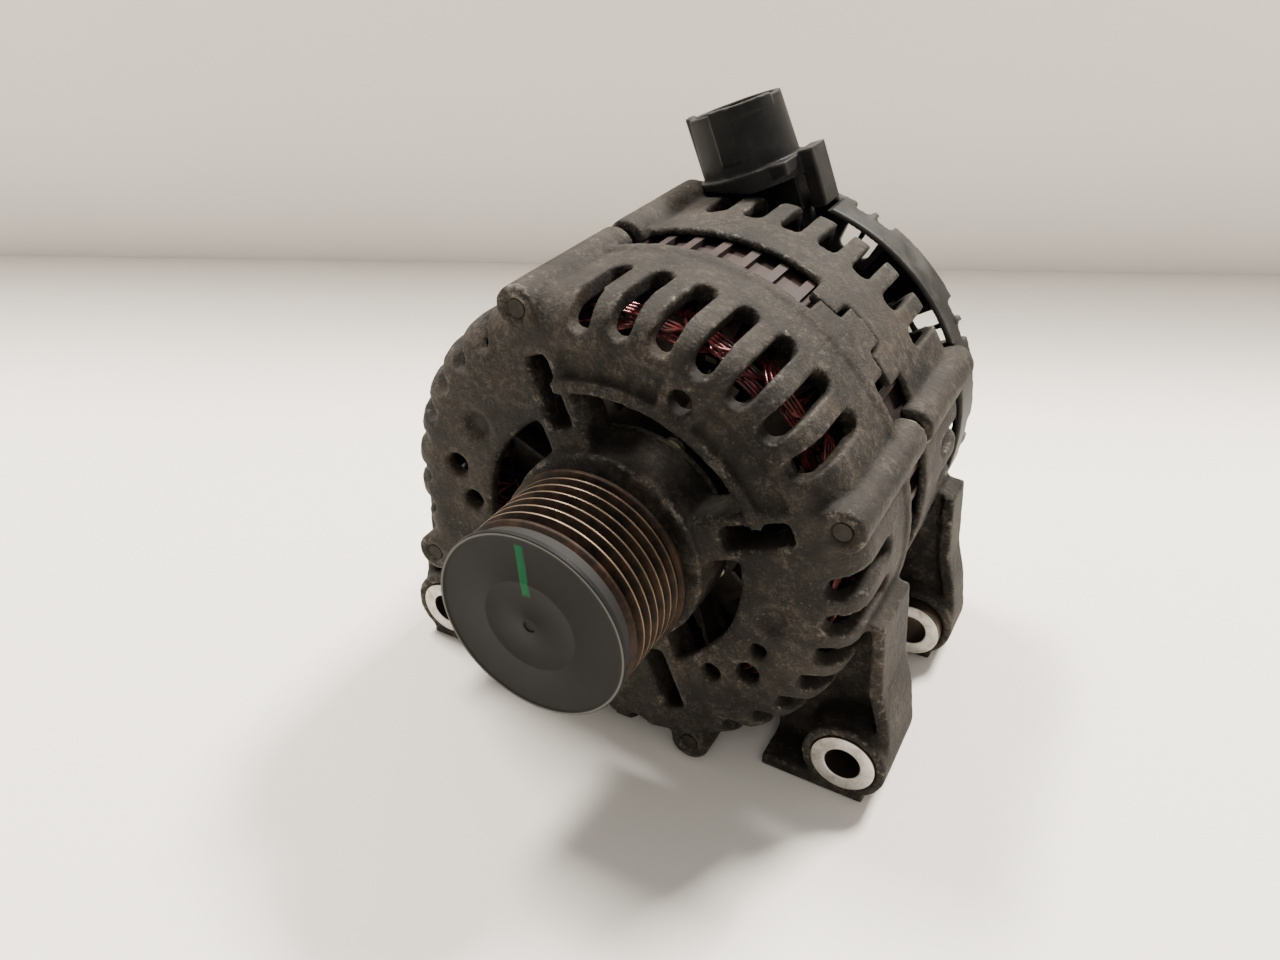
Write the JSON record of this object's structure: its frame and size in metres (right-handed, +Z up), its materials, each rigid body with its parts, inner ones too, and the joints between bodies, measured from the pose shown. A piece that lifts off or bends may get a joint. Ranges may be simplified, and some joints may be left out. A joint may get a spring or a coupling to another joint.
{
  "type": "car alternator",
  "caption": "Car alternator with ribbed belt pulley on an overrunning clutch, slotted aluminium brackets, mounting lugs and black rear cover with plug socket.",
  "frame": {"origin": "on the shaft axis, in the middle plane of the belt", "axes": "+Y along the shaft towards the rear cover, +Z up, away from the mounting feet"},
  "size_m": [0.1678, 0.1794, 0.1732],
  "materials": {
    "cast_aluminium": "weathered casting with dust in its pores",
    "bush_steel": "bare turned face",
    "dark_steel": "oiled, lightly rusted",
    "core_iron": "rusted laminations",
    "winding_enamel": "glossy red-brown enamel",
    "bare_copper": "bare copper",
    "wedge_board": "insulating board",
    "pole_iron": "forged, lacquered",
    "fan_steel": "pressed sheet",
    "bearing_steel": "ground and polished",
    "seal_rubber": "matt",
    "pulley_steel": "browned, with bright worn rib tips",
    "cap_plastic": "satin black",
    "cover_plastic": "fine moulded grain, dusty",
    "bobbin_plastic": "natural nylon",
    "heat_sink_aluminium": "stamped plate",
    "carbon": "pressed carbon",
    "zinc_steel": "zinc plated"
  },
  "bodies": {
    "case": {"front_bracket": "cast_aluminium", "rear_bracket": "cast_aluminium", "through_bolts": "dark_steel", "front_bush_left": "bush_steel", "front_bush_right": "bush_steel", "stator_core": "core_iron", "winding_phase_u": "winding_enamel", "winding_phase_v": "winding_enamel", "winding_phase_w": "winding_enamel", "slot_wedges": "wedge_board", "winding_leads": "winding_enamel", "front_bearing_outer_ring": "bearing_steel", "front_bearing_seals": "seal_rubber", "bearing_retainer": "zinc_steel", "retainer_screws": "zinc_steel", "rear_bearing_outer_ring": "bearing_steel", "rear_bearing_sleeve": "cover_plastic", "rear_cover": "cover_plastic", "cover_posts": "zinc_steel", "cover_nuts": "zinc_steel", "connector_housing": "cover_plastic", "connector_pins": "zinc_steel", "regulator": "cover_plastic", "regulator_heat_sink": "heat_sink_aluminium", "regulator_screws": "zinc_steel", "brush_holder": "cover_plastic", "brush_springs": "zinc_steel", "negative_heat_sink": "heat_sink_aluminium", "positive_heat_sink": "heat_sink_aluminium", "diodes": "zinc_steel", "terminal_frame": "cover_plastic", "rectifier_screws": "zinc_steel", "battery_stud": "zinc_steel", "battery_nut": "zinc_steel"},
    "rotor": {"rotor_shaft": "dark_steel", "front_claw_pole": "pole_iron", "rear_claw_pole": "pole_iron", "field_coil": "bare_copper", "coil_bobbin": "bobbin_plastic", "front_fan": "fan_steel", "rear_fan": "fan_steel", "slip_rings": "bare_copper", "slip_ring_sleeve": "cover_plastic", "shaft_spacer": "dark_steel", "front_bearing_inner_ring": "bearing_steel", "rear_bearing_inner_ring": "bearing_steel", "pulley_hub": "dark_steel", "clutch_rollers": "bearing_steel", "clutch_cage": "cover_plastic", "pulley_bearings": "bearing_steel"},
    "pulley": {"pulley_ring": "pulley_steel", "pulley_cap": "cap_plastic"},
    "front_balls": {"front_bearing_balls": "bearing_steel", "front_bearing_cage": "bobbin_plastic"},
    "rear_balls": {"rear_bearing_balls": "bearing_steel", "rear_bearing_cage": "bobbin_plastic"},
    "front_brush_slider": {"front_brush": "carbon"},
    "rear_brush_slider": {"rear_brush": "carbon"},
    "left_sliding_bush": {"rear_bush_left": "bush_steel"},
    "right_sliding_bush": {"rear_bush_right": "bush_steel"}
  },
  "joints": [
    {"name": "rotor_spin", "type": "hinge", "parent": "case", "child": "rotor", "pos_m": [0, 0.07137, 0], "axis": [0, 1, 0], "continuous": true},
    {"name": "pulley_overrun", "type": "hinge", "parent": "rotor", "child": "pulley", "pos_m": [0, 0.00037, 0], "axis": [0, 1, 0], "continuous": true},
    {"name": "front_balls_orbit", "type": "hinge", "parent": "case", "child": "front_balls", "pos_m": [0, 0.02937, 0], "axis": [0, 1, 0], "continuous": true},
    {"name": "rear_balls_orbit", "type": "hinge", "parent": "case", "child": "rear_balls", "pos_m": [0, 0.11887, 0], "axis": [0, 1, 0], "continuous": true},
    {"name": "front_brush_travel", "type": "slide", "parent": "case", "child": "front_brush_slider", "axis": [-0.3795, 0, 0.9252], "range_m": [0, 0.008], "stiffness_N_per_m": 250, "springref_m": -0.012, "deforming": ["brush_springs"]},
    {"name": "rear_brush_travel", "type": "slide", "parent": "case", "child": "rear_brush_slider", "axis": [-0.3795, 0, 0.9252], "range_m": [0, 0.008], "stiffness_N_per_m": 250, "springref_m": -0.012, "deforming": ["brush_springs"]},
    {"name": "left_bush_slide", "type": "slide", "parent": "case", "child": "left_sliding_bush", "axis": [0, -1, 0], "range_m": [-0.002, 0.002]},
    {"name": "right_bush_slide", "type": "slide", "parent": "case", "child": "right_sliding_bush", "axis": [0, -1, 0], "range_m": [-0.002, 0.002]}
  ],
  "couplings": [
    {"joint": "front_balls_orbit", "follows": "rotor_spin", "ratio": 0.3516},
    {"joint": "rear_balls_orbit", "follows": "rotor_spin", "ratio": 0.38}
  ]
}
